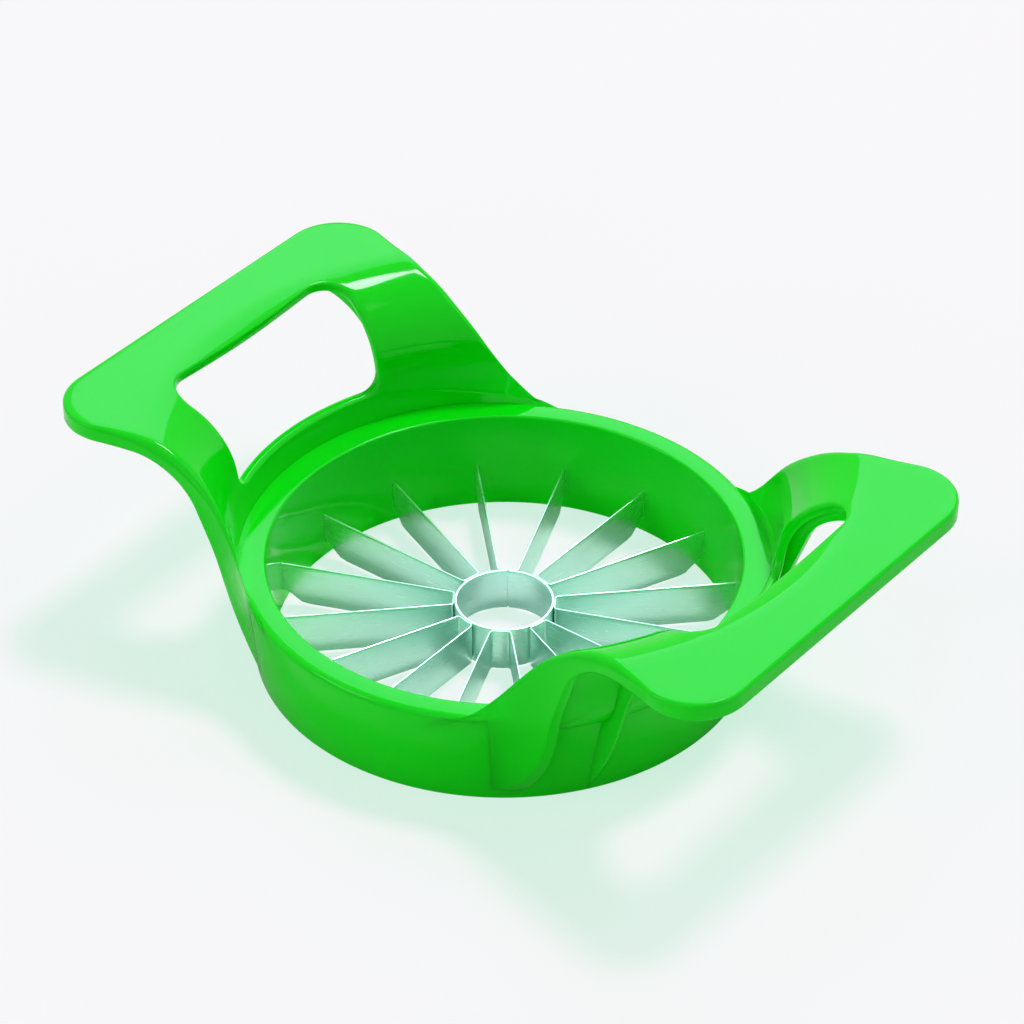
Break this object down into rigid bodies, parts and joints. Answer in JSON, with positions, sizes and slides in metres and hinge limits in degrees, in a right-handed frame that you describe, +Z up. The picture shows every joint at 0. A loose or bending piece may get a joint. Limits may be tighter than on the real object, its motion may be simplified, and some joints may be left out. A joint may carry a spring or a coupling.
{
  "type": "apple slicer",
  "caption": "Apple slicer: a round plastic ring with a raised hand grip on each side, a steel corer ring in the middle and radial steel blades that cut an apple into wedges.",
  "frame": {"origin": "on the ring axis, at the base on which the slicer stands", "axes": "+Z up along the ring axis, +X through both grips, +Y along the length of the grips"},
  "size_m": [0.172, 0.111, 0.0503],
  "materials": {
    "green_plastic": "polished injection moulding",
    "blade_steel": "rolled stainless strip with ground edges"
  },
  "bodies": {
    "root": {"body": "green_plastic", "corer_ring": "blade_steel", "blade_strip_1": "blade_steel", "blade_strip_2": "blade_steel", "blade_strip_3": "blade_steel", "blade_strip_4": "blade_steel", "blade_strip_5": "blade_steel", "blade_strip_6": "blade_steel", "blade_strip_7": "blade_steel", "blade_strip_8": "blade_steel"}
  },
  "joints": []
}
